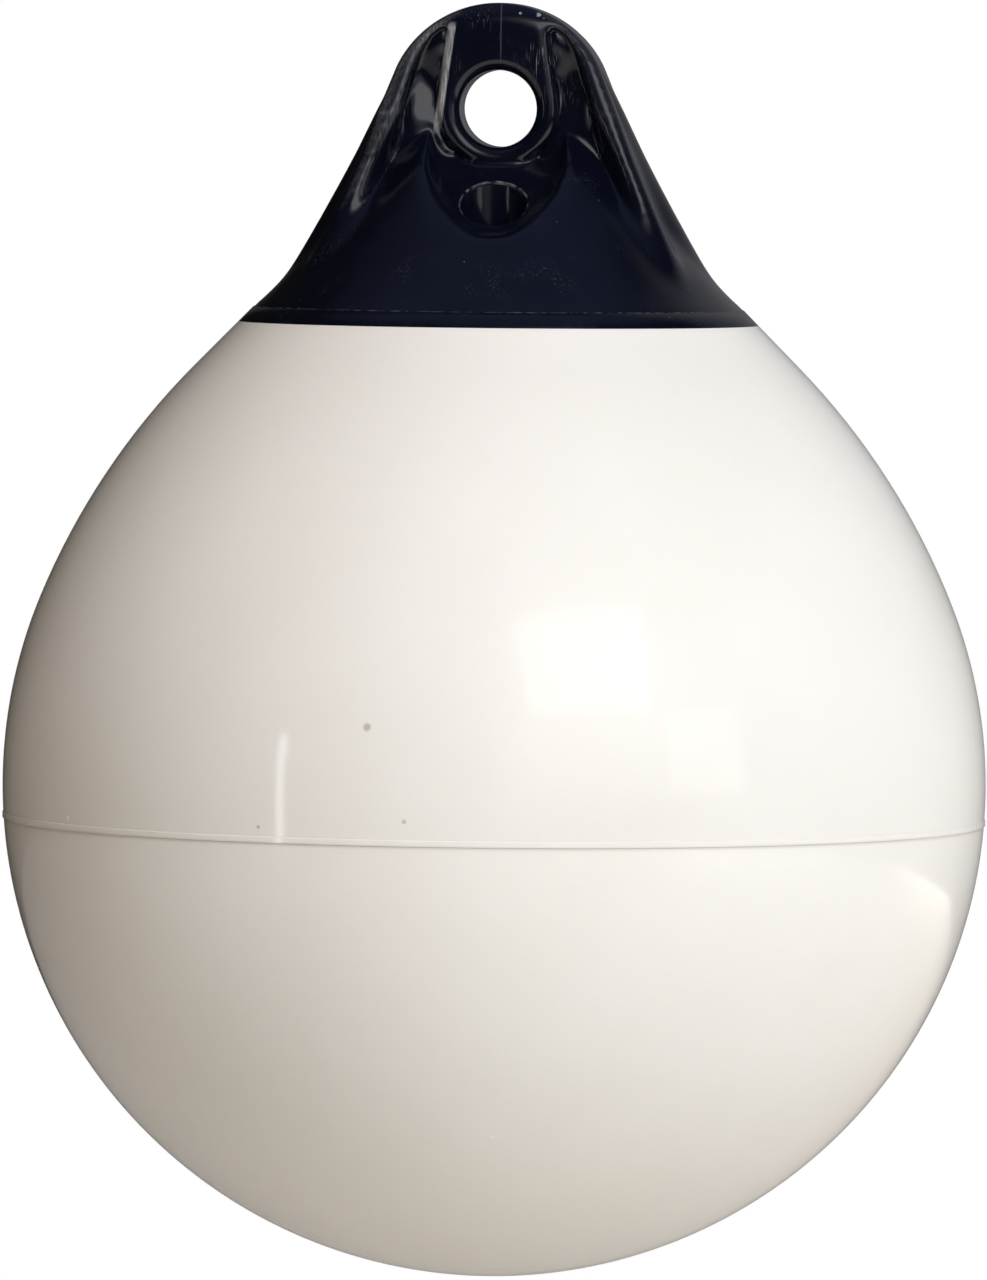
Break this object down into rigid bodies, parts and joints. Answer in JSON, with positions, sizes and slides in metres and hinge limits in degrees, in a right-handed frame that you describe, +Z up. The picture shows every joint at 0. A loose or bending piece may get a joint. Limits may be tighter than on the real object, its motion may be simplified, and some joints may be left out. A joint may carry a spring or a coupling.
{
  "type": "ball fender",
  "caption": "Air-filled ball fender with a moulded rope hold: a ribbed lug with an eye, and a valve pocket below it.",
  "frame": {"origin": "centre of the rope's eye, midway between its two mouths", "axes": "+Z up, from the ball towards the crown of the lug; +Y along the eye towards the back; the front, with the valve pocket, faces -Y"},
  "size_m": [0.295, 0.295, 0.382],
  "materials": {
    "ivory_vinyl": "glossy moulded vinyl",
    "navy_vinyl": "glossy moulded vinyl, lightly scuffed",
    "valve_brass": "turned",
    "seal_rubber": "plain",
    "screw_nylon": "moulded"
  },
  "bodies": {
    "root": {"ball_shell": "ivory_vinyl", "rope_hold": "navy_vinyl", "valve_body": "valve_brass", "valve_seal": "seal_rubber", "valve_screw": "screw_nylon"}
  },
  "joints": []
}
